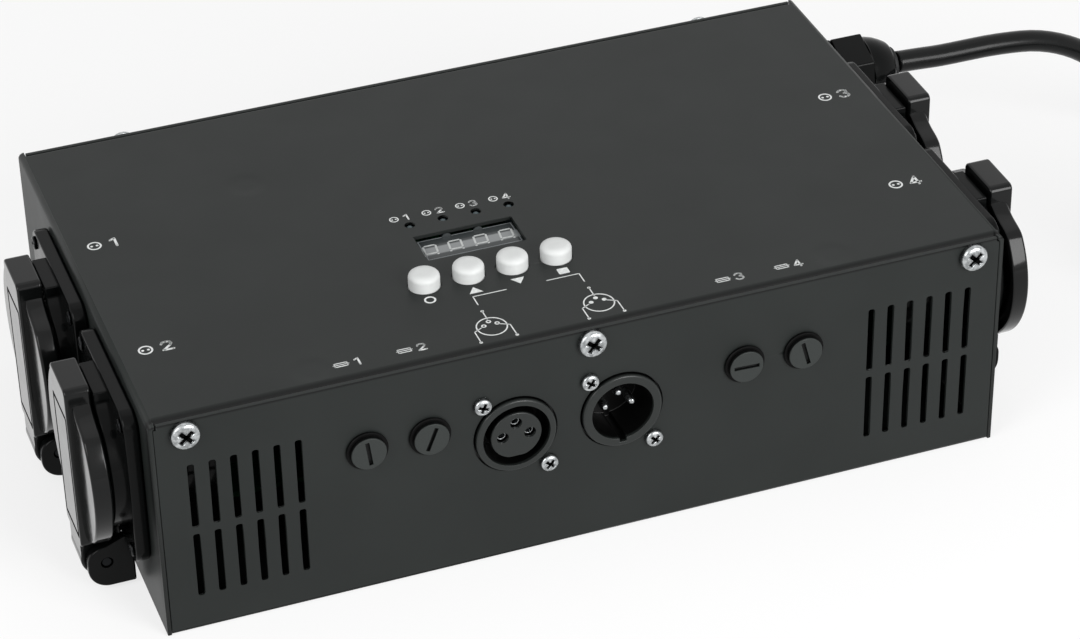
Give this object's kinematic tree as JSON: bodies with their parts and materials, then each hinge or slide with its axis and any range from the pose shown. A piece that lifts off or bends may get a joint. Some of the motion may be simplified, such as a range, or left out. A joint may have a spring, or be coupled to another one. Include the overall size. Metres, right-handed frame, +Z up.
{
  "type": "dimmer pack",
  "caption": "Flat black steel dimmer pack with lidded mains sockets, data sockets, fuses, buttons, display and a coiled mains lead.",
  "frame": {"origin": "middle of the case's base, on the surface that it stands on", "axes": "+X to the right seen from the front, +Y to the back, +Z up"},
  "size_m": [0.4884, 0.1528, 0.0754],
  "materials": {
    "case_paint": "satin",
    "black_plastic": "gloss",
    "lid_plastic": "satin",
    "shell_plastic": "satin",
    "white_plastic": "satin",
    "bright_steel": "bright",
    "spring_steel": "satin",
    "circuit_board": "satin",
    "display_face": "gloss",
    "bare_aluminium": "satin",
    "fuse_glass": "clear",
    "cord_rubber": "satin"
  },
  "bodies": {
    "case": {"chassis": "case_paint", "top_cover": "case_paint", "front_cover_screw_1": "bright_steel", "front_cover_screw_2": "bright_steel", "front_cover_screw_3": "bright_steel", "back_cover_screw_1": "bright_steel", "back_cover_screw_2": "bright_steel", "left_front_socket": "black_plastic", "left_front_hinge_pin": "bright_steel", "left_front_lid_spring": "spring_steel", "left_rear_socket": "black_plastic", "left_rear_hinge_pin": "bright_steel", "left_rear_lid_spring": "spring_steel", "right_front_socket": "black_plastic", "right_front_hinge_pin": "bright_steel", "right_front_lid_spring": "spring_steel", "right_rear_socket": "black_plastic", "right_rear_hinge_pin": "bright_steel", "right_rear_lid_spring": "spring_steel", "data_out_socket": "shell_plastic", "data_in_socket": "shell_plastic", "data_in_pin_1": "bright_steel", "data_in_pin_2": "bright_steel", "data_in_pin_3": "bright_steel", "data_out_screw_1": "bright_steel", "data_out_screw_2": "bright_steel", "data_in_screw_1": "bright_steel", "data_in_screw_2": "bright_steel", "fuse_holder_1": "black_plastic", "fuse_holder_2": "black_plastic", "fuse_holder_3": "black_plastic", "fuse_holder_4": "black_plastic", "control_board": "circuit_board", "display_module": "display_face", "power_board": "circuit_board", "heat_sink": "bare_aluminium", "transformer": "spring_steel", "gland_body": "black_plastic", "gland_nut": "black_plastic", "gland_seal": "cord_rubber", "cord_run": "cord_rubber", "cord_coil": "cord_rubber", "coil_tie": "shell_plastic", "plug": "shell_plastic"},
    "left_front_lid": {"left_front_lid": "lid_plastic"},
    "left_rear_lid": {"left_rear_lid": "lid_plastic"},
    "right_front_lid": {"right_front_lid": "lid_plastic"},
    "right_rear_lid": {"right_rear_lid": "lid_plastic"},
    "button_1": {"button_1": "white_plastic"},
    "button_2": {"button_2": "white_plastic"},
    "button_3": {"button_3": "white_plastic"},
    "button_4": {"button_4": "white_plastic"},
    "fuse_1": {"fuse_1": "fuse_glass"},
    "fuse_cap_1": {"fuse_cap_1": "black_plastic"},
    "fuse_2": {"fuse_2": "fuse_glass"},
    "fuse_cap_2": {"fuse_cap_2": "black_plastic"},
    "fuse_3": {"fuse_3": "fuse_glass"},
    "fuse_cap_3": {"fuse_cap_3": "black_plastic"},
    "fuse_4": {"fuse_4": "fuse_glass"},
    "fuse_cap_4": {"fuse_cap_4": "black_plastic"}
  },
  "joints": [
    {"name": "left_front_lid_hinge", "type": "hinge", "parent": "case", "child": "left_front_lid", "pos_m": [-0.1347, -0.039, 0.0098], "axis": [0, -1, 0], "range_deg": [0, 90], "stiffness_Nm_per_rad": 0.01, "springref_deg": -34.38},
    {"name": "left_rear_lid_hinge", "type": "hinge", "parent": "case", "child": "left_rear_lid", "pos_m": [-0.1347, 0.016, 0.0098], "axis": [0, -1, 0], "range_deg": [0, 90], "stiffness_Nm_per_rad": 0.01, "springref_deg": -34.38},
    {"name": "right_front_lid_hinge", "type": "hinge", "parent": "case", "child": "right_front_lid", "pos_m": [0.1347, -0.039, 0.0098], "axis": [0, 1, 0], "range_deg": [0, 90], "stiffness_Nm_per_rad": 0.01, "springref_deg": -34.38},
    {"name": "right_rear_lid_hinge", "type": "hinge", "parent": "case", "child": "right_rear_lid", "pos_m": [0.1347, 0.016, 0.0098], "axis": [0, 1, 0], "range_deg": [0, 90], "stiffness_Nm_per_rad": 0.01, "springref_deg": -34.38},
    {"name": "button_1_travel", "type": "slide", "parent": "case", "child": "button_1", "axis": [0, 0, -1], "range_m": [0, 0.0005], "stiffness_N_per_m": 600, "springref_m": -0.001},
    {"name": "button_2_travel", "type": "slide", "parent": "case", "child": "button_2", "axis": [0, 0, -1], "range_m": [0, 0.0005], "stiffness_N_per_m": 600, "springref_m": -0.001},
    {"name": "button_3_travel", "type": "slide", "parent": "case", "child": "button_3", "axis": [0, 0, -1], "range_m": [0, 0.0005], "stiffness_N_per_m": 600, "springref_m": -0.001},
    {"name": "button_4_travel", "type": "slide", "parent": "case", "child": "button_4", "axis": [0, 0, -1], "range_m": [0, 0.0005], "stiffness_N_per_m": 600, "springref_m": -0.001},
    {"name": "fuse_1_draw", "type": "slide", "parent": "case", "child": "fuse_1", "axis": [0, -1, 0], "range_m": [0, 0.03]},
    {"name": "fuse_cap_1_turn", "type": "hinge", "parent": "fuse_1", "child": "fuse_cap_1", "pos_m": [-0.0655, -0.074, 0.0476], "axis": [0, -1, 0], "range_deg": [0, 60]},
    {"name": "fuse_2_draw", "type": "slide", "parent": "case", "child": "fuse_2", "axis": [0, -1, 0], "range_m": [0, 0.03]},
    {"name": "fuse_cap_2_turn", "type": "hinge", "parent": "fuse_2", "child": "fuse_cap_2", "pos_m": [-0.0475, -0.074, 0.0476], "axis": [0, -1, 0], "range_deg": [0, 60]},
    {"name": "fuse_3_draw", "type": "slide", "parent": "case", "child": "fuse_3", "axis": [0, -1, 0], "range_m": [0, 0.03]},
    {"name": "fuse_cap_3_turn", "type": "hinge", "parent": "fuse_3", "child": "fuse_cap_3", "pos_m": [0.0455, -0.074, 0.0476], "axis": [0, -1, 0], "range_deg": [0, 60]},
    {"name": "fuse_4_draw", "type": "slide", "parent": "case", "child": "fuse_4", "axis": [0, -1, 0], "range_m": [0, 0.03]},
    {"name": "fuse_cap_4_turn", "type": "hinge", "parent": "fuse_4", "child": "fuse_cap_4", "pos_m": [0.0635, -0.074, 0.0476], "axis": [0, -1, 0], "range_deg": [0, 60]}
  ]
}
